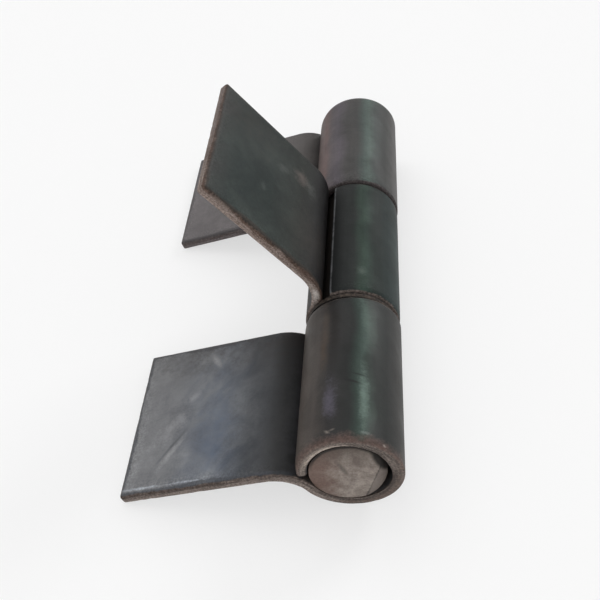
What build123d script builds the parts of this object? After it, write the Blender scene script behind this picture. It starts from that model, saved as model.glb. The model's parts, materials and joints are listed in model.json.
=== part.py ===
from build123d import *
import os
from math import acos, asin, atan2, cos, degrees, hypot, radians, sin, sqrt, tan

# Three-leaf weld-on hinge. Each leaf is one sheared steel strap whose end is rolled into a knuckle.
# The knuckles turn on one loose round pin, with a thin washer between the bottom and middle leaves.
# The hinge lies on a level surface: the pin runs along Y, the outer leaves point to -X with their
# tips on the surface, and the middle leaf is swung up. Lengths are millimetres, angles are degrees.

# The pin, its play in the rolled bores, and its cropped ends
PIN_DIAMETER = 20.0
PIN_PLAY = 0.8
PIN_RECESS = 0.8
PIN_EDGE_BREAK = 0.4

# The pin's near end: how far the crop leans back at the top, and the flat that the shear's blade left,
# with its distance from the centre, its slope and its side
CROP_LEAN = 4.5
SHEAR_CHORD = 7.2
SHEAR_SLOPE = 9.0
SHEAR_SIDE = -18.0

# The strap: each leaf's mid-plane passes the pin axis at its own offset, as the rolling left it
STRAP_THICKNESS = 3.2
STRAP_WIDTH = 50.0
LEAF_REACH = 63.3
OUTER_LEAF_OFFSET = 3.5
MIDDLE_LEAF_OFFSET = 1.8
TIP_CORNER = 1.6

# The roll: its centre stands off the pin axis, away from the leaf, so the pin has one tight side
ROLL_SHIFT = 0.5
BEND_RADIUS = 11.0
FREE_EDGE_GAP = 1.2
EDGE_BREAK = 0.6
EDGE_ROLLOVER = 0.7

# The washer and the running gaps along the pin
WASHER_RING = 2.8
WASHER_THICKNESS = 2.0
WASHER_PIN_GAP = 0.4
WASHER_EDGE_BREAK = 0.4
WASHER_SIDE_GAP = 0.35
KNUCKLE_GAP = 0.4

# How far the middle leaf is swung up from level
MIDDLE_LIFT = 52.6

pin_radius = PIN_DIAMETER / 2
bore_radius = pin_radius + PIN_PLAY
barrel_radius = bore_radius + STRAP_THICKNESS

# The middle knuckle hangs lowest and lies on the surface, which sets the height of the pin axis
middle_lift = radians(MIDDLE_LIFT)
axis_z = barrel_radius + ROLL_SHIFT * sin(middle_lift)

# The outer leaves tilt down until the lower edge of the tip, where its break begins, meets the surface
tip_reach = LEAF_REACH - EDGE_BREAK
tip_height = OUTER_LEAF_OFFSET - STRAP_THICKNESS / 2
rest_tilt = atan2(tip_height, tip_reach) + asin(axis_z / hypot(tip_reach, tip_height))

# The origin is under the middle of the hinge, so the pin axis stands off to +X
upper_tip_height = OUTER_LEAF_OFFSET + STRAP_THICKNESS / 2 - EDGE_ROLLOVER
leaf_side = LEAF_REACH * cos(rest_tilt) + upper_tip_height * sin(rest_tilt)
barrel_side = barrel_radius + ROLL_SHIFT * cos(rest_tilt)
axis_x = (leaf_side - barrel_side) / 2

# Places along the pin, from the near end of the bottom knuckle
hinge_length = 3 * STRAP_WIDTH + WASHER_THICKNESS + 2 * WASHER_SIDE_GAP + KNUCKLE_GAP
bottom_start = -hinge_length / 2
washer_start = bottom_start + STRAP_WIDTH + WASHER_SIDE_GAP
middle_start = washer_start + WASHER_THICKNESS + WASHER_SIDE_GAP
top_start = middle_start + STRAP_WIDTH + KNUCKLE_GAP
pin_start = bottom_start + PIN_RECESS


def round_edges(part, radius):
    """The circular edges of a part that have a given radius."""
    circles = part.edges().filter_by(GeomType.CIRCLE)
    return circles.filter_by(lambda edge: abs(edge.radius - radius) < 1e-4)


def rolled_leaf(start, lift, offset):
    """One strap, starting at a place along Y, lifted about the pin, with its mid-plane off the axis.

    Its section has the pin axis at 0,0 and the leaf towards +X: a flat leaf, a bend and a roll.
    """
    top = offset + STRAP_THICKNESS / 2
    under = offset - STRAP_THICKNESS / 2
    bend_top = BEND_RADIUS + STRAP_THICKNESS / 2
    bend_under = BEND_RADIUS - STRAP_THICKNESS / 2

    # The bend touches the leaf and the roll, so its centre lies under the leaf's inner end
    bend_distance = bend_under + barrel_radius
    bend_y = offset - BEND_RADIUS
    bend_x = sqrt(bend_distance**2 - bend_y**2) - ROLL_SHIFT
    bend_direction = degrees(atan2(bend_y, bend_x + ROLL_SHIFT))
    bend_sweep = 90 + bend_direction

    # The roll's free edge stops where its outer corner is one gap away from the bend
    corner = bend_top + FREE_EDGE_GAP
    cosine = (barrel_radius**2 + bend_distance**2 - corner**2) / (2 * barrel_radius * bend_distance)
    roll_sweep = degrees(acos(cosine)) - 360

    section = Plane((axis_x, start, axis_z), x_dir=(-cos(lift), 0, sin(lift)), z_dir=(0, 1, 0))
    with BuildPart() as leaf:
        with BuildSketch(section):
            with BuildLine():
                leaf_top = Line((LEAF_REACH, top), (bend_x, top))
                CenterArc((bend_x, bend_y), bend_top, 90, bend_sweep)
                bore = CenterArc((-ROLL_SHIFT, 0), bore_radius, bend_direction, roll_sweep)
                barrel = CenterArc((-ROLL_SHIFT, 0), barrel_radius, bend_direction, roll_sweep)
                Line(bore @ 1, barrel @ 1)
                CenterArc((bend_x, bend_y), bend_under, 90, bend_sweep)
                leaf_under = Line((bend_x, under), (LEAF_REACH, under))
                Line(leaf_under @ 1, leaf_top @ 0)
            make_face()
        extrude(amount=STRAP_WIDTH)

        # The tip's corners are eased. The shear rolled over the edge on the bore side and broke the other
        tip = leaf.faces().sort_by(Axis(section.origin, section.x_dir))[-1]
        fillet(tip.edges().filter_by(Axis(section.origin, section.y_dir)), TIP_CORNER)
        chamfer(round_edges(leaf, barrel_radius), EDGE_BREAK)
        chamfer(round_edges(leaf, bore_radius), EDGE_ROLLOVER)
    return leaf.part


bottom_leaf = rolled_leaf(bottom_start, -rest_tilt, OUTER_LEAF_OFFSET)
middle_leaf = rolled_leaf(middle_start, middle_lift, MIDDLE_LEAF_OFFSET)
top_leaf = rolled_leaf(top_start, -rest_tilt, OUTER_LEAF_OFFSET)

# Round bar cropped to length: its near end leans back and has a flat where the shear left the bar
with BuildPart() as hinge_pin:
    lean = tan(radians(CROP_LEAN))
    crop_start = pin_start - pin_radius * lean
    with BuildSketch(Plane((axis_x, crop_start, axis_z), x_dir=(1, 0, 0), z_dir=(0, -1, 0))):
        Circle(pin_radius)
    extrude(amount=crop_start + PIN_RECESS - hinge_length / 2)
    end_centre = Vector(axis_x, pin_start, axis_z)
    split(bisect_by=Plane(end_centre, z_dir=(0, -1, lean)), keep=Keep.BOTTOM)
    chamfer(hinge_pin.faces().filter_by(GeomType.PLANE).edges(), PIN_EDGE_BREAK)
    side = Vector(cos(radians(SHEAR_SIDE)), 0, sin(radians(SHEAR_SIDE)))
    shear_start = end_centre + (side + Vector(0, lean * side.Z, 0)) * SHEAR_CHORD
    outward = side * tan(radians(SHEAR_SLOPE)) + Vector(0, -1, lean)
    split(bisect_by=Plane(shear_start, z_dir=outward), keep=Keep.BOTTOM)

# Flat stamped ring that carries the middle leaf on the bottom one
with BuildPart() as bearing_washer:
    washer_bore = pin_radius + WASHER_PIN_GAP
    with BuildSketch(Plane((axis_x, washer_start, axis_z), x_dir=(1, 0, 0), z_dir=(0, -1, 0))):
        Circle(washer_bore + WASHER_RING)
        Circle(washer_bore, mode=Mode.SUBTRACT)
    extrude(amount=-WASHER_THICKNESS)
    chamfer(round_edges(bearing_washer, washer_bore + WASHER_RING), WASHER_EDGE_BREAK)

pieces = {
    "bottom_leaf": bottom_leaf,
    "middle_leaf": middle_leaf,
    "top_leaf": top_leaf,
    "hinge_pin": hinge_pin.part,
    "bearing_washer": bearing_washer.part,
}
os.makedirs("parts", exist_ok=True)
for name, piece in pieces.items():
    piece.label = name
    export_step(piece, f"parts/{name}.step")
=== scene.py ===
import json
from math import acos, atan2, cos, pi, radians, sin, sqrt, tan

import bpy
import numpy as np
from mathutils import Matrix, Vector, noise


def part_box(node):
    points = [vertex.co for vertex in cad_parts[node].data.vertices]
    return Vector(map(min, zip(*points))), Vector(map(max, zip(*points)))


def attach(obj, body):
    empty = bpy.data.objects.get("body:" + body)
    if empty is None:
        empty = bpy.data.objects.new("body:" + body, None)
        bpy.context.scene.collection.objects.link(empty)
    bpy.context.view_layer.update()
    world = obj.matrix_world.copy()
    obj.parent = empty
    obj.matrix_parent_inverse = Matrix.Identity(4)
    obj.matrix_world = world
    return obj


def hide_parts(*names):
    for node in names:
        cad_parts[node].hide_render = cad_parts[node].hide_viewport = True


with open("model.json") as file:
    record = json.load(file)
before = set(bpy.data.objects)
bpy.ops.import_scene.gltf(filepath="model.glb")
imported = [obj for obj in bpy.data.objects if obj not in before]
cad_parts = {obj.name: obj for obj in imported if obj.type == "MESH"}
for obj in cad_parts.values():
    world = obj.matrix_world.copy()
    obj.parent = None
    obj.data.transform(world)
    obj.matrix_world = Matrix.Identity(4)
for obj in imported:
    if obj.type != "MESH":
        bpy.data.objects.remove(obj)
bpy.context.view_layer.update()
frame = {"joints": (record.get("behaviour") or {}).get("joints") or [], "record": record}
mounts = {mount["name"]: mount for mount in frame["record"]["mounts"]}
pin_axis = Vector(frame["joints"][0]["pos_m"])

# The three leaves. Each is a strip sheared from hot-rolled steel plate, bent once and then rolled
# round a mandrel, so that leaf and knuckle are one piece. The mill's scale is still on its faces,
# and its sheared edges are bare and lightly rusted. All three turn on the pin.
MM = 0.001

# The strap, its roll round the pin, and its bend, which is wider on the middle leaf
STRAP_THICKNESS = 3.2 * MM
STRAP_WIDTH = 50 * MM
LEAF_REACH = 63.3 * MM
BORE_RADIUS = 10.8 * MM
ROLL_SHIFT = 0.5 * MM
OUTER_BEND_RADIUS = 11 * MM
MIDDLE_BEND_RADIUS = 14 * MM
OUTER_FREE_EDGE_GAP = 0.3 * MM
MIDDLE_FREE_EDGE_GAP = 1.7 * MM

# The mesh of the flat strip, its eased corners and its rounded edges
CELL = 0.7 * MM
TIP_CORNER = 0.9 * MM
EDGE_ROUND = 0.6 * MM
EDGE_ROUND_STEPS = 4
SHARP_ANGLE = radians(50)
SMOOTH_ANGLE = radians(40)

# What the shear and wear did to the edges. Places along the strip are counted from its tip
ROLLOVER_DEPTH = 0.38 * MM
ROLLOVER_WIDTH = 1.5 * MM
RIM_WEAR_DEPTH = 0.55 * MM
RIM_WEAR_WIDTH = 2.4 * MM
BURR_END = 92 * MM
BURR_LEVEL = 0.9 * MM
CROWN = 108 * MM
CROWN_SPREAD = 13 * MM
CROWN_REACH = 9 * MM
BOTTOM_CROWN_DRAW = 0.8 * MM
NICK_DEPTH = 0.16 * MM
NICK_LENGTH = 2.6 * MM
NICK_REACH = 0.6 * MM
NICK_FRACTAL = (0.9, 2.1, 3)
WAVE_HEIGHT = 0.06 * MM
WAVE_LENGTH = 17 * MM

barrel_radius = BORE_RADIUS + STRAP_THICKNESS
roll_radius = BORE_RADIUS + STRAP_THICKNESS / 2


def apply_modifier(piece, kind, **settings):
    """Adds a modifier to a piece and applies it."""
    modifier = piece.modifiers.new(kind.lower(), kind)
    for setting, value in settings.items():
        setattr(modifier, setting, value)
    bpy.ops.object.modifier_apply(modifier=modifier.name)


def flat_strip(name, length):
    """A sheared strip with its tip on the Y axis, its length along X and its bore side up."""
    bpy.ops.object.select_all(action="DESELECT")
    cells = (round(length / CELL), round(STRAP_WIDTH / CELL))
    bpy.ops.mesh.primitive_grid_add(x_subdivisions=cells[0], y_subdivisions=cells[1], size=1)
    strip = bpy.context.object
    strip.name = name
    bpy.ops.object.mode_set(mode="EDIT")
    bpy.ops.transform.translate(value=(0.5, 0.5, 0))
    bpy.ops.transform.resize(value=(length, STRAP_WIDTH, 1), center_override=(0, 0, 0))
    bpy.ops.object.mode_set(mode="OBJECT")

    # The corners of the tip are eased: a square patch of the grid is drawn in to a quarter disc
    for vertex in strip.data.vertices:
        along = TIP_CORNER - vertex.co.x
        side = abs(vertex.co.y - STRAP_WIDTH / 2)
        across = side - (STRAP_WIDTH / 2 - TIP_CORNER)
        if along > 0 and across > 0:
            inwards = max(along, across) / sqrt(along**2 + across**2)
            vertex.co.x = TIP_CORNER - along * inwards
            new_side = STRAP_WIDTH / 2 - TIP_CORNER + across * inwards
            vertex.co.y = STRAP_WIDTH / 2 + (new_side if vertex.co.y > STRAP_WIDTH / 2 else -new_side)

    apply_modifier(strip, "SOLIDIFY", thickness=STRAP_THICKNESS, offset=0)
    apply_modifier(strip, "BEVEL", width=EDGE_ROUND, segments=EDGE_ROUND_STEPS,
                   limit_method="ANGLE", angle_limit=SHARP_ANGLE)
    return strip


def rolled_leaf(name, body, node, seed, bend_radius, free_edge_gap, crown_draw):
    """Shears a strip, bends and rolls it as its CAD node is, and puts it in that node's place.

    The roll can draw in the near edge at the crown of the knuckle.
    """
    mount = mounts[f"{body}_weld_face"]
    down = Vector(mount["axis"])
    lift = atan2(-down.x, -down.z)
    under = -(Vector(mount["pos_m"]) - pin_axis).dot(down)
    offset = under + STRAP_THICKNESS / 2
    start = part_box(node)[0].y

    bend_distance = bend_radius - STRAP_THICKNESS / 2 + barrel_radius
    bend_y = offset - bend_radius
    bend_x = sqrt(bend_distance**2 - bend_y**2) - ROLL_SHIFT
    bend_direction = atan2(bend_y, bend_x + ROLL_SHIFT)
    corner = bend_radius + STRAP_THICKNESS / 2 + free_edge_gap
    cosine = (barrel_radius**2 + bend_distance**2 - corner**2) / (2 * barrel_radius * bend_distance)
    flat_length = LEAF_REACH - bend_x
    bend_end = flat_length + bend_radius * (pi / 2 + bend_direction)
    length = bend_end + roll_radius * (2 * pi - acos(cosine))

    leaf = flat_strip(name, length)
    mesh = leaf.data
    place = np.empty(len(mesh.vertices) * 3, np.float32)
    mesh.vertices.foreach_get("co", place)
    s, w, h = place.reshape(-1, 3).astype(float).T

    # The sheared edges are nicked. The side that the blade pressed on is drawn down and the roll's outer
    # rims are worn, except low on the roll, where a burr keeps the edges sharp
    end_gap = np.minimum(s, length - s)
    side_gap = np.minimum(w, STRAP_WIDTH - w)
    edge = np.minimum(s, side_gap)
    points = np.column_stack((s / NICK_LENGTH, w / NICK_LENGTH, h / NICK_LENGTH + seed))
    nick = np.array([max(0, noise.fractal(Vector(point), *NICK_FRACTAL)) for point in points])
    inset = NICK_DEPTH * nick
    new_s = s + np.sign(length / 2 - s) * inset * np.exp(-end_gap / NICK_REACH)
    new_w = w + np.sign(STRAP_WIDTH / 2 - w) * inset * np.exp(-side_gap / NICK_REACH)
    at_crown = np.exp(-((s - CROWN) / CROWN_SPREAD) ** 2)
    new_w += crown_draw * at_crown * np.clip(1 - w / CROWN_REACH, 0, 1) ** 2
    droop = ROLLOVER_DEPTH * np.clip(1 - np.minimum(end_gap, side_gap) / ROLLOVER_WIDTH, 0, 1) ** 2
    burr = np.interp(s, (flat_length, bend_end, BURR_END, CROWN), (0, 1, 1, 0))
    droop = np.where(h > BURR_LEVEL, droop * (1 - burr) - burr * (STRAP_THICKNESS / 2 - h), droop)
    wear = RIM_WEAR_DEPTH * np.clip(1 - side_gap / RIM_WEAR_WIDTH, 0, 1) ** 2
    wear = np.where(s > bend_end, wear * (1 - burr), 0)
    points = np.column_stack((s / WAVE_LENGTH, w / WAVE_LENGTH, np.full_like(s, seed + 0.5)))
    wave = WAVE_HEIGHT * np.array([0.5 + 0.5 * noise.noise(Vector(point)) for point in points])
    new_h = np.where(h > 0, h - droop - wave, h + wear + wave)

    # The strip is bent and rolled: u runs from the pin axis along the leaf, v away from its face
    turn = pi / 2 + (new_s - flat_length) / bend_radius
    curl = bend_direction - (new_s - bend_end) / roll_radius
    u = np.where(new_s < flat_length, LEAF_REACH - new_s, bend_x + (bend_radius + new_h) * np.cos(turn))
    v = np.where(new_s < flat_length, offset + new_h, bend_y + (bend_radius + new_h) * np.sin(turn))
    u = np.where(new_s < bend_end, u, -ROLL_SHIFT + (roll_radius - new_h) * np.cos(curl))
    v = np.where(new_s < bend_end, v, (roll_radius - new_h) * np.sin(curl))
    placed = np.column_stack((
        pin_axis.x - u * cos(lift) + v * sin(lift),
        start + new_w,
        pin_axis.z + u * sin(lift) + v * cos(lift)))
    mesh.vertices.foreach_set("co", placed.astype(np.float32).ravel())
    mesh.update()

    # Each point keeps its place on the flat strip, in millimetres, for the finish to follow
    strip_place = mesh.attributes.new("strip", "FLOAT_VECTOR", "POINT")
    strip_place.data.foreach_set("vector", (np.column_stack((s, w, h)) / MM).astype(np.float32).ravel())
    for distance_name, distance in (("sheared_edge", edge), ("free_edge", length - s)):
        kept = mesh.attributes.new(distance_name, "FLOAT", "POINT")
        kept.data.foreach_set("value", (distance / MM).astype(np.float32))

    bpy.ops.object.shade_smooth_by_angle(angle=SMOOTH_ANGLE)
    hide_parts(node)
    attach(leaf, body)
    return leaf


def linear(colour):
    """An sRGB hex colour as linear red, green, blue and alpha."""
    parts = [int(colour[i:i + 2], 16) / 255 for i in (0, 2, 4)]
    return tuple(p / 12.92 if p <= 0.04045 else ((p + 0.055) / 1.055) ** 2.4 for p in parts) + (1.0,)


def add(tree, kind, inputs, **settings):
    """Adds a node with its settings, and fills its sockets with values or with other nodes' sockets."""
    made = tree.nodes.new("ShaderNode" + kind)
    for setting, value in settings.items():
        setattr(made, setting, value)
    for socket, value in inputs.items():
        if isinstance(value, bpy.types.NodeSocket):
            tree.links.new(value, made.inputs[socket])
        else:
            made.inputs[socket].default_value = value
    return made


# Sizes of the patterns in the scale, in millimetres on the flat strip. The real grain is finer than this,
# and is drawn as coarse as it needs to show
CLOUD_SIZE = 15.0
SMEAR_LENGTH = 19.0
SMEAR_WIDTH = 8.0
SMEAR_DEPTH = 10.0
SMEAR_TURN = 52.0
BLOTCH_SIZE = 3.0
BAND_WIDTH = 2.2
BAND_LENGTH = 60.0
BAND_DEPTH = 5.0
GRAIN_SIZE = 0.6
GRAIN_RELIEF = 0.06
CUT_STREAK_LENGTH = 11.0
CUT_STREAK_WIDTH = 0.8
TINT_WANDER = 5.0

# Places on the flat strip and distances from its edges, in millimetres
STRIP_SPAN = 130.0
LEAF_END = 44.0
ROLL_START = 58.0
TIP_SHADE = 2.0
BLACK_EDGE = 0.5
RUBBED_LINE = 0.6
RUBBED_WIDTH = 0.4
GRITTY_EDGE = 5.0
FULL_GRIT = 2.0


def mill_scale(name, seed, specular, tints_and_painted_light, pale, edges, face_marks, edge_marks):
    """Hot-rolled steel with its mill scale on: a thin dark oxide, cloudy and hazy, with a low gloss.

    The bands across the strip, given by their distance from the tip, are partly heat tints and partly
    painted light: painted shade towards the bend and by the roll's free edge, and a pale green painted
    highlight stripe along the knuckle. The flat leaf has paler smears and clouds. The sheared edges have
    a dark rim, and below it they are bare and browned.
    A mark is its colour, its strength, its place along, across and through the strip, its half length,
    its half width and its turn. The edges are given by the rim's colour, its width and the level that it
    reaches down to, the two colours of the cut, and how far the cut is darkened round the knuckle.
    """
    material = bpy.data.materials.new(name)
    material.use_nodes = True
    tree = material.node_tree
    shader = tree.nodes["Principled BSDF"]
    place = add(tree, "Attribute", {}, attribute_name="strip").outputs["Vector"]
    parts = add(tree, "SeparateXYZ", {"Vector": place}).outputs
    along = parts["X"]
    through = parts["Z"]
    edge = add(tree, "Attribute", {}, attribute_name="sheared_edge").outputs["Fac"]
    free_edge = add(tree, "Attribute", {}, attribute_name="free_edge").outputs["Fac"]
    spot = add(tree, "VectorMath", {0: place, 1: (0, 0, seed)}, operation="ADD").outputs["Vector"]

    # Clouds, diagonal smears, small blotches, bands along the pin, and grain
    clouds = add(tree, "TexNoise", {"Vector": spot, "Scale": 1 / CLOUD_SIZE, "Detail": 4.0,
                                    "Roughness": 0.55, "Distortion": 0.4}).outputs["Fac"]
    turned = add(tree, "Mapping", {"Vector": spot, "Rotation": (0, 0, radians(SMEAR_TURN)),
                                   "Scale": (SMEAR_LENGTH, SMEAR_WIDTH, SMEAR_DEPTH)},
                 vector_type="TEXTURE")
    smears = add(tree, "TexNoise", {"Vector": turned.outputs["Vector"], "Scale": 1.0, "Detail": 4.0,
                                    "Roughness": 0.52, "Distortion": 1.1}).outputs["Fac"]
    blotches = add(tree, "TexNoise", {"Vector": spot, "Scale": 1 / BLOTCH_SIZE, "Detail": 5.0,
                                      "Roughness": 0.65}).outputs["Fac"]
    drawn = add(tree, "Mapping", {"Vector": spot, "Scale": (BAND_WIDTH, BAND_LENGTH, BAND_DEPTH)},
                vector_type="TEXTURE").outputs["Vector"]
    bands = add(tree, "TexNoise", {"Vector": drawn, "Scale": 1.0, "Detail": 5.0,
                                   "Roughness": 0.65}).outputs["Fac"]
    grain = add(tree, "TexNoise", {"Vector": spot, "Scale": 1 / GRAIN_SIZE, "Detail": 3.0,
                                   "Roughness": 0.7}).outputs["Fac"]

    # The heat tints, with painted shade and a painted highlight stripe among them, whose borders wander
    wander = add(tree, "Math", {0: clouds, 1: 0.5}, operation="SUBTRACT").outputs["Value"]
    wander = add(tree, "Math", {0: wander, 1: TINT_WANDER, 2: along}, operation="MULTIPLY_ADD")
    wander = add(tree, "MapRange", {"Value": wander.outputs["Value"], "From Max": STRIP_SPAN})
    ramp = add(tree, "ValToRGB", {"Fac": wander.outputs["Result"]})
    stops = ramp.color_ramp.elements
    while len(stops) < len(tints_and_painted_light):
        stops.new(1.0)
    for stop, (distance, colour) in zip(stops, tints_and_painted_light):
        stop.position = distance / STRIP_SPAN
        stop.color = linear(colour)
    tone = ramp.outputs["Color"]

    # Paler smears and clouds on the flat leaf, soft bands on the roll, and grain all over
    haze = add(tree, "Math", {0: smears, 1: 0.7, 2: clouds}, operation="MULTIPLY_ADD").outputs["Value"]
    haze = add(tree, "MapRange", {"Value": haze, "From Min": 0.7, "From Max": 1.06, "To Max": 0.75})
    fade = add(tree, "MapRange", {"Value": along, "From Min": LEAF_END, "From Max": LEAF_END / 2})
    haze = add(tree, "Math", {0: haze.outputs["Result"], 1: fade.outputs["Result"]}, operation="MULTIPLY")
    tone = add(tree, "MixRGB", {"Fac": haze.outputs["Value"], "Color1": tone, "Color2": linear(pale)})
    on_roll = add(tree, "MapRange", {"Value": along, "From Min": LEAF_END, "From Max": ROLL_START,
                                     "To Min": 0.35}, interpolation_type="SMOOTHSTEP").outputs["Result"]
    lift = add(tree, "Math", {0: bands, 1: 0.5, 2: clouds}, operation="MULTIPLY_ADD").outputs["Value"]
    lift = add(tree, "MapRange", {"Value": lift, "From Min": 0.5, "From Max": 1.0, "To Min": 0.65,
                                  "To Max": 1.35}).outputs["Result"]
    lift = add(tree, "Mix", {0: on_roll, 2: 1.0, 3: lift}).outputs[0]
    tone = add(tree, "VectorMath", {0: tone.outputs["Color"], "Scale": lift}, operation="SCALE")
    speck = add(tree, "Math", {0: grain, 1: blotches}, operation="ADD").outputs["Value"]
    speck = add(tree, "MapRange", {"Value": speck, "From Min": 0.65, "From Max": 1.35, "To Min": 0.82,
                                   "To Max": 1.18}).outputs["Result"]
    tone = add(tree, "VectorMath", {0: tone.outputs["Vector"], "Scale": speck}, operation="SCALE")
    tone = tone.outputs["Vector"]

    # The scale is drawn over the bore side's sheared edge as a dark rim
    ragged = add(tree, "Math", {0: blotches, 1: -1.0, 2: edge}, operation="MULTIPLY_ADD").outputs["Value"]
    uneven = add(tree, "Math", {0: clouds, 1: -4.0, 2: ragged}, operation="MULTIPLY_ADD").outputs["Value"]
    rim = add(tree, "MapRange", {"Value": uneven, "From Min": edges["rim_width"] - 2.1,
                                 "From Max": edges["rim_width"] - 2.9, "To Max": 0.75},
              interpolation_type="SMOOTHSTEP").outputs["Result"]
    upper = add(tree, "MapRange", {"Value": through, "From Min": -0.8, "From Max": 0.6}).outputs["Result"]
    rim = add(tree, "Math", {0: rim, 1: upper}, operation="MULTIPLY").outputs["Value"]
    tone = add(tree, "MixRGB", {"Fac": rim, "Color1": tone, "Color2": linear(edges["rim"])}).outputs["Color"]

    # The roll's free edge is painted black as the shade in the gap, and rubbed to a thin light line on the
    # outside
    ended = add(tree, "MapRange", {"Value": free_edge, "From Min": BLACK_EDGE, "From Max": 0.2})
    tone = add(tree, "MixRGB", {"Fac": ended.outputs["Result"], "Color1": tone,
                                "Color2": linear("0d0d0d")}).outputs["Color"]
    rubbed = add(tree, "Math", {0: free_edge, 1: RUBBED_LINE}, operation="SUBTRACT").outputs["Value"]
    rubbed = add(tree, "Math", {0: rubbed}, operation="ABSOLUTE").outputs["Value"]
    rubbed = add(tree, "MapRange", {"Value": rubbed, "From Min": RUBBED_WIDTH, "From Max": 0.1,
                                    "To Max": 0.6}).outputs["Result"]
    outer = add(tree, "MapRange", {"Value": through, "From Min": -0.6, "From Max": -1.4}).outputs["Result"]
    rubbed = add(tree, "Math", {0: rubbed, 1: outer}, operation="MULTIPLY").outputs["Value"]
    broken = add(tree, "MapRange", {"Value": blotches, "From Min": 0.38, "From Max": 0.58, "To Min": 0.25,
                                    "To Max": 1.0}).outputs["Result"]
    rubbed = add(tree, "Math", {0: rubbed, 1: broken}, operation="MULTIPLY").outputs["Value"]
    tone = add(tree, "MixRGB", {"Fac": rubbed, "Color1": tone, "Color2": linear("77787a")}).outputs["Color"]

    # Stains, scuffs and scratches, and painted shade and highlights, each a soft patch broken up by the
    # blotches and the grain
    patchy = add(tree, "MapRange", {"Value": blotches, "From Min": 0.35, "From Max": 0.6, "To Min": 0.65,
                                  "To Max": 1.05}).outputs["Result"]

    def marked(tone, colour, strength, where, half_length, half_width, turn):
        """A tone with one mark on it, which fades out over its half length and half width."""
        local = add(tree, "Mapping", {"Vector": place, "Location": where, "Rotation": (0, 0, radians(turn)),
                                      "Scale": (half_length, half_width, 1.0)}, vector_type="TEXTURE")
        away = add(tree, "VectorMath", {0: local.outputs["Vector"]}, operation="LENGTH").outputs["Value"]
        away = add(tree, "Math", {0: blotches, 1: -1.0, 2: away}, operation="MULTIPLY_ADD").outputs["Value"]
        away = add(tree, "Math", {0: grain, 1: -0.6, 2: away}, operation="MULTIPLY_ADD").outputs["Value"]
        share = add(tree, "MapRange", {"Value": away, "From Min": 0.2, "From Max": -0.8, "To Max": strength},
                    interpolation_type="SMOOTHSTEP").outputs["Result"]
        share = add(tree, "Math", {0: share, 1: patchy}, operation="MULTIPLY", use_clamp=True).outputs["Value"]
        return add(tree, "MixRGB", {"Fac": share, "Color1": tone, "Color2": linear(colour)}).outputs["Color"]

    for mark in face_marks:
        tone = marked(tone, *mark)

    # The sheared face below the rim is bare and browned, speckled, with streaks along the cut
    streak_size = (CUT_STREAK_LENGTH, CUT_STREAK_LENGTH, CUT_STREAK_WIDTH)
    streaks = add(tree, "Mapping", {"Vector": spot, "Scale": streak_size},
                  vector_type="TEXTURE").outputs["Vector"]
    streaks = add(tree, "TexNoise", {"Vector": streaks, "Scale": 1.0, "Detail": 5.0,
                                     "Roughness": 0.75}).outputs["Fac"]
    streaks = add(tree, "Math", {0: through, 1: -0.08, 2: streaks}, operation="MULTIPLY_ADD")
    streaks = add(tree, "MapRange", {"Value": streaks.outputs["Value"], "From Min": 0.34, "From Max": 0.66},
                  interpolation_type="SMOOTHSTEP").outputs["Result"]
    bare = add(tree, "MixRGB", {"Fac": streaks, "Color1": linear(edges["rust"]),
                                "Color2": linear(edges["bare"])}).outputs["Color"]
    pitted = add(tree, "MapRange", {"Value": grain, "From Min": 0.36, "From Max": 0.64, "To Min": 0.68,
                                    "To Max": 1.3}).outputs["Result"]
    tip = add(tree, "MapRange", {"Value": along, "From Max": TIP_SHADE, "To Min": 0.84,
                                 "To Max": 1.0}).outputs["Result"]
    pitted = add(tree, "Math", {0: pitted, 1: tip}, operation="MULTIPLY").outputs["Value"]
    ring = add(tree, "MapRange", {"Value": along, "From Min": ROLL_START - 2, "From Max": ROLL_START + 8,
                                  "To Min": 1.0, "To Max": edges["ring"]}).outputs["Result"]
    pitted = add(tree, "Math", {0: pitted, 1: ring}, operation="MULTIPLY").outputs["Value"]
    bare = add(tree, "VectorMath", {0: bare, "Scale": pitted}, operation="SCALE").outputs["Vector"]
    rim_end = add(tree, "MapRange", {"Value": along, "From Min": LEAF_END - 4, "From Max": ROLL_START - 2,
                                     "To Min": edges["rim_end"], "To Max": 2.2}).outputs["Result"]
    below = add(tree, "Math", {0: rim_end, 1: through}, operation="SUBTRACT").outputs["Value"]
    below = add(tree, "Math", {0: blotches, 1: 1.0, 2: below}, operation="MULTIPLY_ADD").outputs["Value"]
    below = add(tree, "MapRange", {"Value": below, "From Min": 0.25, "From Max": 0.75}).outputs["Result"]
    at_cut = add(tree, "MapRange", {"Value": ragged, "From Min": 0.2, "From Max": -0.25},
                 interpolation_type="SMOOTHSTEP").outputs["Result"]
    bare_share = add(tree, "Math", {0: below, 1: at_cut}, operation="MULTIPLY").outputs["Value"]
    tone = add(tree, "MixRGB", {"Fac": bare_share, "Color1": tone, "Color2": bare}).outputs["Color"]

    for mark in edge_marks:
        tone = marked(tone, *mark)

    # Near the edges the surface is gritty
    gritty = add(tree, "MapRange", {"Value": grain, "From Min": 0.36, "From Max": 0.64, "To Min": 0.8,
                                    "To Max": 1.2}).outputs["Result"]
    near_edge = add(tree, "MapRange", {"Value": edge, "From Min": GRITTY_EDGE, "From Max": FULL_GRIT})
    gritty = add(tree, "Mix", {0: near_edge.outputs["Result"], 2: 1.0, 3: gritty}).outputs[0]
    tone = add(tree, "VectorMath", {0: tone, "Scale": gritty}, operation="SCALE").outputs["Vector"]
    tree.links.new(tone, shader.inputs["Base Color"])

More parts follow.
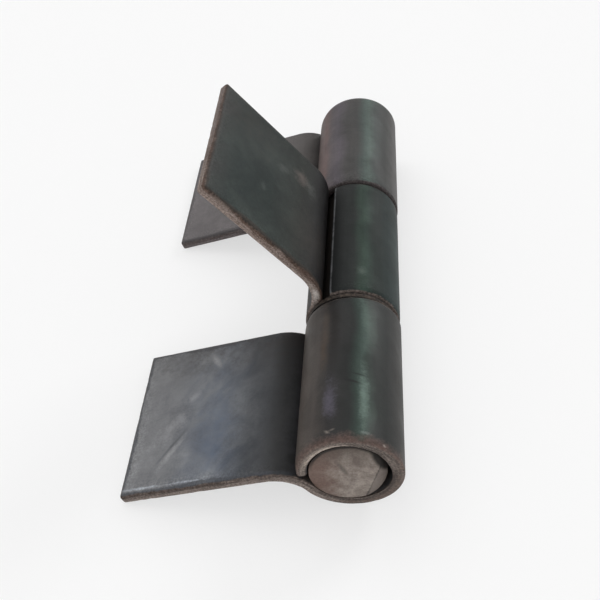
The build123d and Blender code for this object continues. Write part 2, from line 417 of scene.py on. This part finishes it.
    # The smears differ in gloss, the bare edges are duller, and blotches and grain give a faint relief
    gloss = add(tree, "Math", {0: smears, 1: 0.3, 2: 0.38}, operation="MULTIPLY_ADD").outputs["Value"]
    gloss = add(tree, "Math", {0: bare_share, 1: 0.2, 2: gloss}, operation="MULTIPLY_ADD").outputs["Value"]
    tree.links.new(gloss, shader.inputs["Roughness"])
    shader.inputs["Specular IOR Level"].default_value = specular
    relief = add(tree, "Math", {0: blotches, 1: 1.5, 2: grain}, operation="MULTIPLY_ADD").outputs["Value"]
    bump = add(tree, "Bump", {"Height": relief, "Strength": 0.35, "Distance": GRAIN_RELIEF * MM})
    tree.links.new(bump.outputs["Normal"], shader.inputs["Normal"])
    return material


# The strip's two sides for the marks, and a half width that takes a mark right across it
BORE_SIDE = STRAP_THICKNESS / 2 / MM
BARREL_SIDE = -BORE_SIDE
ACROSS = 400.0

bottom_leaf = rolled_leaf("rolled_bottom_leaf", "bottom", "bottom_leaf", seed=3.1,
                          bend_radius=OUTER_BEND_RADIUS, free_edge_gap=OUTER_FREE_EDGE_GAP,
                          crown_draw=BOTTOM_CROWN_DRAW)
bottom_leaf.data.materials.append(mill_scale(
    "mill_scale_blue_grey", seed=0.0, specular=0.25,
    # Heat tints, with painted shade towards the bend and a painted highlight stripe on the knuckle
    tints_and_painted_light=[
        (0, "707072"), (12, "68696c"), (26, "505763"), (36, "33363b"), (45, "282829"), (58, "34333a"),
        (80, "3a3937"), (92, "302f2d"), (97.5, "1e201f"), (100, "171c19"), (101.5, "2a352f"),
        (103, "3a4942"), (105, "222e29"), (106.5, "181a19"), (111, "1d1b1b"), (115, "3c3632"),
        (121, "433c37"), (126, "2a2724")],
    pale="7c7d7e",
    edges={"rim": "3a3c41", "rim_width": 1.4, "rim_end": 1.9,
           "rust": "4b413c", "bare": "80756e", "ring": 0.66},
    face_marks=[
        # Painted shade in the bend, the brown far edge and a blue patch
        ("141414", 0.92, (52.5, 25.0, BORE_SIDE), 12.0, ACROSS, 0.0),
        ("2f2b2a", 0.7, (30.0, 54.0, BORE_SIDE), 70.0, 25.0, 0.0),
        ("4a5567", 0.45, (25.5, 18.5, BORE_SIDE), 9.0, 18.0, 0.0),
        # Scuffs and scratches on the leaf, and painted glints of highlight along its near edge
        ("98989a", 0.4, (12.5, 20.5, BORE_SIDE), 9.0, 3.6, 50.0),
        ("3d3f44", 0.7, (13.5, 14.3, BORE_SIDE), 9.0, 0.8, 54.2),
        ("a0a0a1", 0.5, (13.3, 11.6, BORE_SIDE), 8.5, 1.4, 56.9),
        ("98989a", 0.35, (17.8, 30.5, BORE_SIDE), 4.0, 1.6, 40.6),
        ("9c9b9b", 0.55, (23.2, 43.0, BORE_SIDE), 4.8, 1.5, -58.0),
        ("a8adb4", 0.8, (6.0, 1.9, BORE_SIDE), 9.0, 0.6, 0.0),
        ("a0a5ad", 0.7, (20.0, 1.9, BORE_SIDE), 9.0, 0.5, 0.0),
        # The knuckle's green stripe with a painted highlight on it, its brown and violet patches and two
        # dark scratches
        ("66786f", 0.7, (103.0, 15.0, BARREL_SIDE), 1.7, 13.0, 0.0),
        ("586b61", 0.2, (103.0, 43.0, BARREL_SIDE), 1.6, 8.0, 0.0),
        ("110c09", 0.9, (110.6, 37.0, BARREL_SIDE), 2.4, 17.0, 0.0),
        ("453526", 0.5, (113.0, 36.0, BARREL_SIDE), 1.8, 15.0, 0.0),
        ("524e5b", 0.65, (110.8, 14.0, BARREL_SIDE), 2.5, 8.5, 0.0),
        ("111111", 0.95, (106.2, 19.4, BARREL_SIDE), 4.4, 0.6, 18.0),
        ("141816", 0.85, (104.2, 21.6, BARREL_SIDE), 3.8, 0.5, 14.0),
        # The wall of the bore, brown low down, and painted shade in black beside the pin
        ("65554a", 0.8, (64.0, 0.0, BORE_SIDE), 15.0, 9.0, 0.0),
        ("0c0a09", 0.95, (90.0, 0.0, BORE_SIDE), 17.0, 14.0, 0.0)],
    edge_marks=[
        # The near edge's bare tip and browned ring, the rust on the knuckle's near end and its chips
        ("857c75", 0.5, (3.0, 0.0, -0.8), 7.0, 1.6, 0.0),
        ("54433a", 0.6, (76.0, 0.0, -0.4), 20.0, 1.6, 0.0),
        ("584640", 0.85, (107.0, 0.0, BARREL_SIDE), 44.0, 3.8, 0.0),
        ("9a9087", 0.45, (111.2, 3.7, BARREL_SIDE), 1.4, 0.6, 40.0),
        ("8f857c", 0.35, (110.0, 4.1, BARREL_SIDE), 1.3, 0.5, -15.0),
        ("7b8480", 0.4, (102.8, 3.2, BARREL_SIDE), 1.7, 0.8, 0.0),
        ("a0968e", 0.45, (97.8, 1.1, BARREL_SIDE), 0.7, 0.6, 0.0),
        # The black far edge of the knuckle, and the lip of the bore at its crown, bare and pale with a
        # painted highlight
        ("0f0e0d", 0.95, (100.0, 50.0, BARREL_SIDE + 1.0), 60.0, 0.9, 0.0),
        ("978b81", 0.75, (118.0, 0.0, BORE_SIDE - 1.5), 14.0, 1.6, 0.0),
        ("a99d93", 0.95, (116.0, 0.0, BORE_SIDE - 0.5), 17.0, 1.6, 0.0)]))

middle_leaf = rolled_leaf("rolled_middle_leaf", "middle", "middle_leaf", seed=11.7,
                          bend_radius=MIDDLE_BEND_RADIUS, free_edge_gap=MIDDLE_FREE_EDGE_GAP, crown_draw=0)
middle_leaf.data.materials.append(mill_scale(
    "mill_scale_green_black", seed=40.0, specular=0.12,
    # Heat tints, with painted shade towards the bend and by the free edge, and a painted highlight stripe on
    # the knuckle
    tints_and_painted_light=[
        (0, "3a3938"), (8, "1f2827"), (22, "1c2523"), (34, "252724"), (44, "222122"), (58, "2f302f"),
        (80, "373836"), (92, "393937"), (98, "373837"), (104, "2d3635"), (108.5, "293130"),
        (111, "202725"), (113, "1e2623"), (115, "33413a"), (116.3, "35433b"), (119, "282b2a"),
        (123, "181a1a"), (126, "0d0e0f")],
    pale="353b38",
    edges={"rim": "37302c", "rim_width": 1.0, "rim_end": 1.5,
           "rust": "584840", "bare": "93867f", "ring": 0.4},
    face_marks=[
        # Painted shade in black in the bend, olive and brown patches, and scuffs on the leaf
        ("080808", 0.97, (52.0, 25.0, BORE_SIDE), 13.0, ACROSS, 0.0),
        ("302e2a", 0.5, (12.0, 46.0, BORE_SIDE), 22.0, 24.0, 0.0),
        ("3c3632", 0.35, (40.0, 14.0, BORE_SIDE), 14.0, 16.0, 0.0),
        ("7b7f7b", 0.14, (26.8, 35.1, BORE_SIDE), 5.0, 2.6, 40.0),
        ("8d7d77", 0.24, (34.2, 37.7, BORE_SIDE), 4.6, 4.6, 20.0),
        ("7b7f7b", 0.16, (38.5, 36.0, BORE_SIDE), 5.5, 3.2, -70.0),
        ("6b716d", 0.18, (19.3, 19.4, BORE_SIDE), 3.0, 2.2, 70.0),
        # The knuckle's brown underside beside the bend, and a painted highlight spot on its stripe
        ("51463f", 0.9, (62.0, 2.0, BARREL_SIDE), 9.0, 17.0, 0.0),
        ("66716a", 0.4, (116.7, 8.3, BARREL_SIDE), 2.0, 2.6, 0.0)],
    edge_marks=[
        # The grey tip, and the near edge's dark top, bare stretches and darker start of the roll
        ("6b6361", 0.75, (0.0, 32.0, 0.6), 2.6, 34.0, 0.0),
        ("625b59", 0.6, (0.0, 32.0, -0.8), 2.6, 34.0, 0.0),
        ("3d302a", 0.8, (48.0, 0.0, 1.3), 12.0, 1.6, 0.0),
        ("8f857f", 0.6, (7.0, 0.0, 0.9), 8.0, 1.2, 0.0),
        ("b0a8a2", 0.9, (48.5, 0.0, -0.6), 7.0, 1.6, 0.0),
        ("aaa19b", 0.75, (47.5, 0.0, 0.2), 4.5, 1.6, 0.0),
        ("cfc8c3", 0.6, (48.5, 0.0, -0.2), 3.4, 1.6, 0.0),
        ("3a332f", 0.95, (56.5, 0.0, -0.4), 7.5, 1.6, 0.0),
        ("332c28", 0.9, (59.0, 0.0, BARREL_SIDE), 8.0, 5.0, 0.0)]))

top_leaf = rolled_leaf("rolled_top_leaf", "top", "top_leaf", seed=23.4,
                       bend_radius=OUTER_BEND_RADIUS, free_edge_gap=OUTER_FREE_EDGE_GAP, crown_draw=0)
top_leaf.data.materials.append(mill_scale(
    "mill_scale_mauve_grey", seed=80.0, specular=0.25,
    # Heat tints, with painted shade towards the bend and a painted highlight stripe on the knuckle
    tints_and_painted_light=[
        (0, "5a5657"), (20, "524e4e"), (38, "4c4847"), (48, "423e3c"), (58, "423f3e"), (80, "474544"),
        (92, "464443"), (97.5, "2e302e"), (100, "303835"), (102, "45524c"), (103.5, "444f4b"),
        (106, "3c3b3a"), (109, "363433"), (112, "464046"), (114.5, "4a4346"), (117, "594643"),
        (122, "4e413e"), (126, "342e2c")],
    pale="656061",
    edges={"rim": "403c3d", "rim_width": 1.2, "rim_end": 1.3,
           "rust": "4d4442", "bare": "676060", "ring": 0.5},
    face_marks=[
        # Painted shade in the bend
        ("211e1d", 0.85, (53.0, 25.0, BORE_SIDE), 9.0, ACROSS, 0.0)],
    edge_marks=[]))

# The pin is a length of round steel bar, cropped in a shear. It lies loose in the three knuckles.
# The crop left its near end leaning, dull and warm grey, with a flat where the blade came out. It also
# rolled the rim over on the upper right and dragged it outwards below.
PIN_RECESS = 0.8 * MM
PIN_SIDES = 160
PIN_EDGE_ROUND = 0.4 * MM
PIN_EDGE_ROUND_STEPS = 3
PIN_SMOOTH_ANGLE = radians(25)
CROP_LEAN = radians(4.5)
CROP_RELIEF = 0.12 * MM
CROP_RIDGE = 4 * MM
CROP_FRACTAL = (0.8, 2.2, 4)
SHEAR_CHORD = 7.2 * MM
SHEAR_SLOPE = radians(9)
SHEAR_SIDE = radians(-18)
ROLLED_SIDE = radians(25)
ROLLED_WIDTH = 2.6 * MM
ROLLED_DEPTH = 1.4 * MM
DRAG_OUT = 0.45 * MM
DRAG_WIDTH = 1 * MM
DRAG_REACH = 3 * MM
DRAG_SPREAD = 0.7

pin_low, pin_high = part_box("hinge_pin")
pin_radius = (pin_high.z - pin_low.z) / 2
pin_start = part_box("bottom_leaf")[0].y + PIN_RECESS
bpy.ops.object.select_all(action="DESELECT")
bpy.ops.mesh.primitive_circle_add(vertices=PIN_SIDES, radius=pin_radius, rotation=(pi / 2, 0, 0),
                                  location=(pin_axis.x, pin_start, pin_axis.z))
pin = bpy.context.object
pin.name = "cropped_pin"
bpy.ops.object.transform_apply(location=True, rotation=True, scale=True)
bpy.ops.object.mode_set(mode="EDIT")
bpy.ops.mesh.select_all(action="SELECT")
bpy.ops.mesh.fill_grid(span=PIN_SIDES // 4)
shear_side = Vector((cos(SHEAR_SIDE), 0, sin(SHEAR_SIDE)))
rolled_side = Vector((cos(ROLLED_SIDE), 0, sin(ROLLED_SIDE)))
bpy.ops.mesh.select_all(action="SELECT")
bpy.ops.mesh.bisect(plane_co=pin_axis + shear_side * SHEAR_CHORD, plane_no=shear_side)
bpy.ops.mesh.select_all(action="SELECT")
bpy.ops.mesh.extrude_region_move(TRANSFORM_OT_translate={"value": (0, pin_high.y - pin_start, 0)})
bpy.ops.mesh.select_all(action="SELECT")
bpy.ops.mesh.bisect(plane_co=(0, pin_start + DRAG_REACH, 0), plane_no=(0, 1, 0))
bpy.ops.mesh.select_all(action="SELECT")
bpy.ops.mesh.normals_make_consistent(inside=False)
bpy.ops.object.mode_set(mode="OBJECT")
apply_modifier(pin, "BEVEL", width=PIN_EDGE_ROUND, segments=PIN_EDGE_ROUND_STEPS,
               limit_method="ANGLE", angle_limit=SHARP_ANGLE)

# The near end leans, and has the flat, the rolled rim and the dragged rim. Both ends are slightly uneven
for vertex in pin.data.vertices:
    out = vertex.co - pin_axis
    ridge = CROP_RELIEF * abs(noise.fractal(vertex.co / CROP_RIDGE, *CROP_FRACTAL))
    if vertex.co.y < pin_start + 2 * PIN_EDGE_ROUND:
        across = Vector((out.x, 0, out.z))
        outwards = across.normalized()
        rim_gap = pin_radius - across.length
        flat = max(0, out.dot(shear_side) - SHEAR_CHORD) * tan(SHEAR_SLOPE)
        rolled = max(0, 1 - rim_gap / ROLLED_WIDTH) ** 2
        rolled *= ROLLED_DEPTH * max(0, outwards.dot(rolled_side)) ** 2
        drag = DRAG_OUT * max(0, -outwards.z) ** DRAG_SPREAD
        drag *= max(0, 1 - rim_gap / DRAG_WIDTH)
        vertex.co.y += out.z * tan(CROP_LEAN) + flat + ridge + rolled
        vertex.co += outwards * drag
    elif vertex.co.y > pin_high.y - 2 * PIN_EDGE_ROUND:
        vertex.co.y -= ridge
bpy.ops.object.shade_smooth_by_angle(angle=PIN_SMOOTH_ANGLE)
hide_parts("hinge_pin")
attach(pin, "bottom")

# Cropped steel: dull and mottled where it tore, browner on one side and darker at the top as painted shade,
# with a dent and the blade's line. Its rolled rim and upper rim are painted black as shade, and inside the
# knuckles it is painted dark, partly as shade. The real grit is finer than this, and is drawn as coarse as
# it needs to show. The shaded rim's radii are in millimetres
PIN_MOTTLE = 4 * MM
PIN_GRIT = 0.5 * MM
PIN_GRIT_RELIEF = 0.06 * MM
BROWN_WANDER = 9 * MM
BROWN_START = 5 * MM
BROWN_FULL = -3 * MM
SHADE_START = 2 * MM
SHADE_FULL = 9 * MM
DENT_PLACE = Vector((-1.3 * MM, 0, 1.5 * MM))
DENT_TURN = radians(64)
DENT_LENGTH = 4.4 * MM
DENT_WIDTH = 1.1 * MM
FLAT_START = -0.3 * MM
FLAT_FULL = 0.2 * MM
BLADE_WANDER = 1.2 * MM
BLADE_START = 0.95 * MM
BLADE_FULL = 0.6 * MM
SHADE_PATCH_LENGTH = 6.2 * MM
SHADE_PATCH_WIDTH = 2.3 * MM
SHADED_RIM_START = 9.4
SHADED_RIM_FULL = 9.9
SHADED_RIM_RISE = 5 * MM
INSIDE_START = 1.6 * MM
INSIDE_FULL = 2.6 * MM

pin_steel = bpy.data.materials.new("cropped_bar_steel")
pin_steel.use_nodes = True
tree = pin_steel.node_tree
shader = tree.nodes["Principled BSDF"]
place = add(tree, "TexCoord", {}).outputs["Object"]
mottle = add(tree, "TexNoise", {"Vector": place, "Scale": 1 / PIN_MOTTLE, "Detail": 6.0,
                                "Roughness": 0.62}).outputs["Fac"]
grit = add(tree, "TexNoise", {"Vector": place, "Scale": 1 / PIN_GRIT, "Detail": 3.0}).outputs["Fac"]
share = add(tree, "MapRange", {"Value": mottle, "From Min": 0.3, "From Max": 0.7},
            interpolation_type="SMOOTHSTEP").outputs["Result"]
tone = add(tree, "MixRGB", {"Fac": share, "Color1": linear("675d57"),
                            "Color2": linear("90877f")}).outputs["Color"]
parts = add(tree, "SeparateXYZ", {"Vector": place}).outputs
aside = add(tree, "Math", {0: mottle, 1: BROWN_WANDER, 2: parts["X"]}, operation="MULTIPLY_ADD")
share = add(tree, "MapRange", {"Value": aside.outputs["Value"], "From Min": pin_axis.x + BROWN_START,
                               "From Max": pin_axis.x + BROWN_FULL, "To Max": 0.8},
            interpolation_type="SMOOTHSTEP").outputs["Result"]
tone = add(tree, "MixRGB", {"Fac": share, "Color1": tone, "Color2": linear("624d45")}).outputs["Color"]
# Painted shade: the face darkens towards the top, under the knuckle's rim
share = add(tree, "MapRange", {"Value": parts["Z"], "From Min": pin_axis.z + SHADE_START,
                               "From Max": pin_axis.z + SHADE_FULL, "To Max": 0.75}).outputs["Result"]
tone = add(tree, "MixRGB", {"Fac": share, "Color1": tone, "Color2": linear("4b423c")}).outputs["Color"]
dent = add(tree, "Mapping", {"Vector": place, "Location": pin_axis + DENT_PLACE,
                             "Rotation": (0, DENT_TURN, 0), "Scale": (DENT_LENGTH, 1, DENT_WIDTH)},
           vector_type="TEXTURE").outputs["Vector"]
dent = add(tree, "VectorMath", {0: dent}, operation="LENGTH").outputs["Value"]
dent = add(tree, "Math", {0: mottle, 1: -1.0, 2: dent}, operation="MULTIPLY_ADD").outputs["Value"]
share = add(tree, "MapRange", {"Value": dent, "From Min": 0.5, "From Max": -0.4, "To Max": 0.7},
            interpolation_type="SMOOTHSTEP").outputs["Result"]
tone = add(tree, "MixRGB", {"Fac": share, "Color1": tone, "Color2": linear("4a4540")}).outputs["Color"]
blade = add(tree, "VectorMath", {0: place, 1: shear_side}, operation="DOT_PRODUCT").outputs["Value"]
blade_place = pin_axis.dot(shear_side) + SHEAR_CHORD
blade = add(tree, "Math", {0: blade, 1: blade_place}, operation="SUBTRACT").outputs["Value"]
share = add(tree, "MapRange", {"Value": blade, "From Min": FLAT_START, "From Max": FLAT_FULL,
                               "To Max": 0.75}).outputs["Result"]
tone = add(tree, "MixRGB", {"Fac": share, "Color1": tone, "Color2": linear("675f5a")}).outputs["Color"]
blade = add(tree, "Math", {0: blade}, operation="ABSOLUTE").outputs["Value"]
blade = add(tree, "Math", {0: mottle, 1: BLADE_WANDER, 2: blade}, operation="MULTIPLY_ADD").outputs["Value"]
share = add(tree, "MapRange", {"Value": blade, "From Min": BLADE_START, "From Max": BLADE_FULL,
                               "To Max": 0.75}).outputs["Result"]
tone = add(tree, "MixRGB", {"Fac": share, "Color1": tone, "Color2": linear("3a3532")}).outputs["Color"]
# Painted shade: black over the rolled rim at the upper right
rolled_shade = add(tree, "Mapping", {"Vector": place, "Location": pin_axis + rolled_side * pin_radius,
                             "Rotation": (0, pi / 2 - ROLLED_SIDE, 0),
                             "Scale": (SHADE_PATCH_LENGTH, 1, SHADE_PATCH_WIDTH)},
           vector_type="TEXTURE").outputs["Vector"]
rolled_shade = add(tree, "VectorMath", {0: rolled_shade}, operation="LENGTH").outputs["Value"]
rolled_shade = add(tree, "Math", {0: mottle, 1: -0.6, 2: rolled_shade}, operation="MULTIPLY_ADD").outputs["Value"]
share = add(tree, "MapRange", {"Value": rolled_shade, "From Min": 0.75, "From Max": 0.3, "To Max": 0.95},
            interpolation_type="SMOOTHSTEP").outputs["Result"]
tone = add(tree, "MixRGB", {"Fac": share, "Color1": tone, "Color2": linear("1d1917")}).outputs["Color"]
# Painted shade: black along the upper rim of the near end
rim = add(tree, "Mapping", {"Vector": place, "Location": pin_axis, "Scale": (MM, 1, MM)},
          vector_type="TEXTURE").outputs["Vector"]
rim = add(tree, "VectorMath", {0: rim}, operation="LENGTH").outputs["Value"]
rim = add(tree, "Math", {0: mottle, 1: 0.8, 2: rim}, operation="MULTIPLY_ADD").outputs["Value"]
rim = add(tree, "MapRange", {"Value": rim, "From Min": SHADED_RIM_START,
                             "From Max": SHADED_RIM_FULL}).outputs["Result"]
share = add(tree, "MapRange", {"Value": parts["Z"], "From Min": pin_axis.z,
                               "From Max": pin_axis.z + SHADED_RIM_RISE, "To Max": 0.9}).outputs["Result"]
share = add(tree, "Math", {0: share, 1: rim}, operation="MULTIPLY").outputs["Value"]
tone = add(tree, "MixRGB", {"Fac": share, "Color1": tone, "Color2": linear("1d1917")}).outputs["Color"]
speck = add(tree, "MapRange", {"Value": grit, "From Min": 0.3, "From Max": 0.7, "To Min": 0.9,
                               "To Max": 1.1}).outputs["Result"]
tone = add(tree, "VectorMath", {0: tone, "Scale": speck}, operation="SCALE").outputs["Vector"]
# Inside the knuckles, away from its ends, the pin is dark grey, partly its own colour and partly painted
# shade
inside = add(tree, "Math", {0: parts["Y"]}, operation="ABSOLUTE").outputs["Value"]
share = add(tree, "MapRange", {"Value": inside, "From Min": pin_high.y - INSIDE_START,
                               "From Max": pin_high.y - INSIDE_FULL, "To Max": 0.9}).outputs["Result"]
tone = add(tree, "MixRGB", {"Fac": share, "Color1": tone, "Color2": linear("2e2a27")}).outputs["Color"]
tree.links.new(tone, shader.inputs["Base Color"])
rough = add(tree, "MapRange", {"Value": mottle, "To Min": 0.45, "To Max": 0.75}).outputs["Result"]
shader.inputs["Specular IOR Level"].default_value = 0.2
tree.links.new(rough, shader.inputs["Roughness"])
bump = add(tree, "Bump", {"Height": grit, "Strength": 0.4, "Distance": PIN_GRIT_RELIEF}).outputs["Normal"]
tree.links.new(bump, shader.inputs["Normal"])
pin.data.materials.append(pin_steel)

# The washer is a ring stamped from sheet, between the bottom and middle knuckles. It is slipped over
# the pin before the middle leaf. Its edge is ragged and brown with light rust.
WASHER_SIDES = 240
WASHER_PIN_GAP = 0.4 * MM
WASHER_EDGE_ROUND = 0.3 * MM
WASHER_EDGE_ROUND_STEPS = 3
WASHER_NICK = 0.5 * MM
WASHER_NICK_LENGTH = 1.8 * MM

washer_low, washer_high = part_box("bearing_washer")
washer_radius = (washer_high.z - washer_low.z) / 2
washer_bore = pin_radius + WASHER_PIN_GAP
washer_thickness = washer_high.y - washer_low.y
washer_centre = Vector((pin_axis.x, (washer_low.y + washer_high.y) / 2, pin_axis.z))
bpy.ops.object.select_all(action="DESELECT")
bpy.ops.mesh.primitive_circle_add(vertices=WASHER_SIDES, radius=washer_bore, rotation=(pi / 2, 0, 0),
                                  location=washer_centre)
washer = bpy.context.object
washer.name = "stamped_washer"
bpy.ops.object.transform_apply(location=True, rotation=True, scale=True)
bpy.ops.object.mode_set(mode="EDIT")
bpy.ops.mesh.select_all(action="SELECT")
bpy.ops.mesh.extrude_region_move()
grow = washer_radius / washer_bore
bpy.ops.transform.resize(value=(grow, 1, grow), center_override=washer_centre)
bpy.ops.mesh.select_all(action="SELECT")
bpy.ops.mesh.normals_make_consistent(inside=False)
bpy.ops.object.mode_set(mode="OBJECT")
apply_modifier(washer, "SOLIDIFY", thickness=washer_thickness, offset=0)
apply_modifier(washer, "BEVEL", width=WASHER_EDGE_ROUND, segments=WASHER_EDGE_ROUND_STEPS,
               limit_method="ANGLE", angle_limit=SHARP_ANGLE)

# Its outer edge is nicked
for vertex in washer.data.vertices:
    out = vertex.co - washer_centre
    across = Vector((out.x, 0, out.z))
    if across.length > washer_radius - 3 * WASHER_EDGE_ROUND:
        nick = max(0, noise.fractal(vertex.co / WASHER_NICK_LENGTH, *NICK_FRACTAL))
        vertex.co -= across.normalized() * WASHER_NICK * nick
bpy.ops.object.shade_smooth_by_angle(angle=SMOOTH_ANGLE)
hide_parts("bearing_washer")
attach(washer, "bottom")

# Lightly rusted sheet: rough and brown, mottled with spots about a millimetre across, and black along both
# of its corners
WASHER_MOTTLE = 1.0 * MM
WASHER_RELIEF = 0.2 * MM
CORNER_WANDER = 0.6 * MM
CORNER_START = 0.8 * MM
CORNER_FULL = 1.1 * MM

washer_steel = bpy.data.materials.new("rusted_sheet_steel")
washer_steel.use_nodes = True
tree = washer_steel.node_tree
shader = tree.nodes["Principled BSDF"]
place = add(tree, "TexCoord", {}).outputs["Object"]
mottle = add(tree, "TexNoise", {"Vector": place, "Scale": 1 / WASHER_MOTTLE, "Detail": 6.0,
                                "Roughness": 0.7}).outputs["Fac"]
share = add(tree, "MapRange", {"Value": mottle, "From Min": 0.35, "From Max": 0.65},
            interpolation_type="SMOOTHSTEP").outputs["Result"]
tone = add(tree, "MixRGB", {"Fac": share, "Color1": linear("161311"),
                            "Color2": linear("4c423b")}).outputs["Color"]
level = add(tree, "SeparateXYZ", {"Vector": place}).outputs["Y"]
level = add(tree, "Math", {0: level, 1: washer_centre.y}, operation="SUBTRACT").outputs["Value"]
level = add(tree, "Math", {0: level}, operation="ABSOLUTE").outputs["Value"]
level = add(tree, "Math", {0: mottle, 1: CORNER_WANDER, 2: level}, operation="MULTIPLY_ADD").outputs["Value"]
share = add(tree, "MapRange", {"Value": level, "From Min": CORNER_START, "From Max": CORNER_FULL,
                               "To Max": 0.9}).outputs["Result"]
tone = add(tree, "MixRGB", {"Fac": share, "Color1": tone, "Color2": linear("0c0b0a")}).outputs["Color"]
tree.links.new(tone, shader.inputs["Base Color"])
rough = add(tree, "MapRange", {"Value": mottle, "To Min": 0.5, "To Max": 0.8}).outputs["Result"]
shader.inputs["Specular IOR Level"].default_value = 0.15
tree.links.new(rough, shader.inputs["Roughness"])
bump = add(tree, "Bump", {"Height": mottle, "Strength": 0.5, "Distance": WASHER_RELIEF}).outputs["Normal"]
tree.links.new(bump, shader.inputs["Normal"])
washer.data.materials.append(washer_steel)

# The floor is a plain round sheet of pale paper that the hinge lies on. A low backdrop of the same paper
# stands round it, far off. Part of their white is a glow of their own, so the hinge's shadow stays light.
FLOOR_RADIUS = 8000 * MM
FLOOR_SIDES = 96
FLOOR_DROP = 0.02 * MM
BACKDROP_HEIGHT = 1900 * MM
FLOOR_GLOW = 0.68
BACKDROP_GLOW = 1.0


def pale_paper(name, seen_colour, glow):
    """White paper. The camera, and what mirrors the paper, see a share of it as evenly white."""
    paper = bpy.data.materials.new(name)
    paper.use_nodes = True
    tree = paper.node_tree
    sheet = tree.nodes["Principled BSDF"]
    sheet.inputs["Base Color"].default_value = linear("f8f8f8")
    sheet.inputs["Roughness"].default_value = 0.9
    sheet.inputs["Specular IOR Level"].default_value = 0.2
    rays = add(tree, "LightPath", {}).outputs
    seen = add(tree, "Math", {0: rays["Is Camera Ray"], 1: rays["Is Glossy Ray"]}, operation="ADD")
    seen = add(tree, "Math", {0: seen.outputs["Value"], 1: rays["Is Transmission Ray"]}, operation="ADD",
               use_clamp=True)
    seen = add(tree, "Math", {0: seen.outputs["Value"], 1: glow}, operation="MULTIPLY").outputs["Value"]
    white = add(tree, "Emission", {"Color": linear(seen_colour), "Strength": 1.0}).outputs["Emission"]
    mixed = add(tree, "MixShader", {0: seen, 1: sheet.outputs["BSDF"], 2: white}).outputs["Shader"]
    tree.links.new(mixed, tree.nodes["Material Output"].inputs["Surface"])
    return paper


bpy.ops.object.select_all(action="DESELECT")
bpy.ops.mesh.primitive_circle_add(vertices=FLOOR_SIDES, radius=FLOOR_RADIUS, fill_type="NGON",
                                  location=(0, 0, -FLOOR_DROP))
floor = bpy.context.object
floor.name = "floor"
floor.data.materials.append(pale_paper("floor_paper", "f6f6f6", FLOOR_GLOW))

bpy.ops.object.select_all(action="DESELECT")
bpy.ops.mesh.primitive_circle_add(vertices=FLOOR_SIDES, radius=FLOOR_RADIUS, location=(0, 0, -FLOOR_DROP))
backdrop = bpy.context.object
backdrop.name = "backdrop"
bpy.ops.object.mode_set(mode="EDIT")
bpy.ops.mesh.select_all(action="SELECT")
bpy.ops.mesh.extrude_region_move(TRANSFORM_OT_translate={"value": (0, 0, BACKDROP_HEIGHT)})
bpy.ops.object.mode_set(mode="OBJECT")
backdrop.data.materials.append(pale_paper("backdrop_paper", "f9f9f9", BACKDROP_GLOW))

# Soft studio light: an even pale room, a broad lamp high behind, one low behind on the right that
# draws the sheen along the knuckles, and a weak one over the camera for the near ends.
ROOM_LIGHT = 0.52

world = bpy.data.worlds.new("studio")
bpy.context.scene.world = world
world.use_nodes = True
room = world.node_tree.nodes["Background"]
room.inputs["Color"].default_value = linear("ffffff")
room.inputs["Strength"].default_value = ROOM_LIGHT


def soft_lamp(name, towards, strength, spread):
    """A broad far-off lamp: the direction that it stands in, its strength and its apparent size."""
    lamp = bpy.data.lights.new(name, "SUN")
    lamp.energy = strength
    lamp.angle = radians(spread)
    holder = bpy.data.objects.new(name, lamp)
    holder.rotation_euler = Vector(towards).to_track_quat("Z", "Y").to_euler()
    bpy.context.scene.collection.objects.link(holder)


soft_lamp("key_lamp", towards=(-0.4, 0.53, 0.75), strength=1.1, spread=60)
soft_lamp("strip_lamp", towards=(0.56, 0.7, 0.44), strength=1.1, spread=22)
soft_lamp("fill_lamp", towards=(0.1, -0.8, 0.6), strength=0.7, spread=60)

# The camera stands above the near end, a little to the right, and is slightly rolled. Its place, its
# angles in degrees and its lens are those that fit the hinge's edges in the photo.
CAMERA_PLACE = Vector((34.95, -194.05, 196.68)) * MM
CAMERA_PITCH = 45.04
CAMERA_TURN = 8.56
CAMERA_ROLL = -7.01
CAMERA_LENS = 50.465
CAMERA_NEAR_LIMIT = 10 * MM

camera = bpy.data.objects.new("camera", bpy.data.cameras.new("camera"))
camera.data.lens = CAMERA_LENS
camera.data.clip_start = CAMERA_NEAR_LIMIT
camera.rotation_euler = (
    Matrix.Rotation(radians(CAMERA_TURN), 3, "Z")
    @ Matrix.Rotation(radians(90 - CAMERA_PITCH), 3, "X")
    @ Matrix.Rotation(radians(CAMERA_ROLL), 3, "Z")
).to_euler()
camera.location = CAMERA_PLACE
bpy.context.scene.collection.objects.link(camera)
bpy.context.scene.camera = camera
bpy.context.scene.view_settings.view_transform = "Standard"
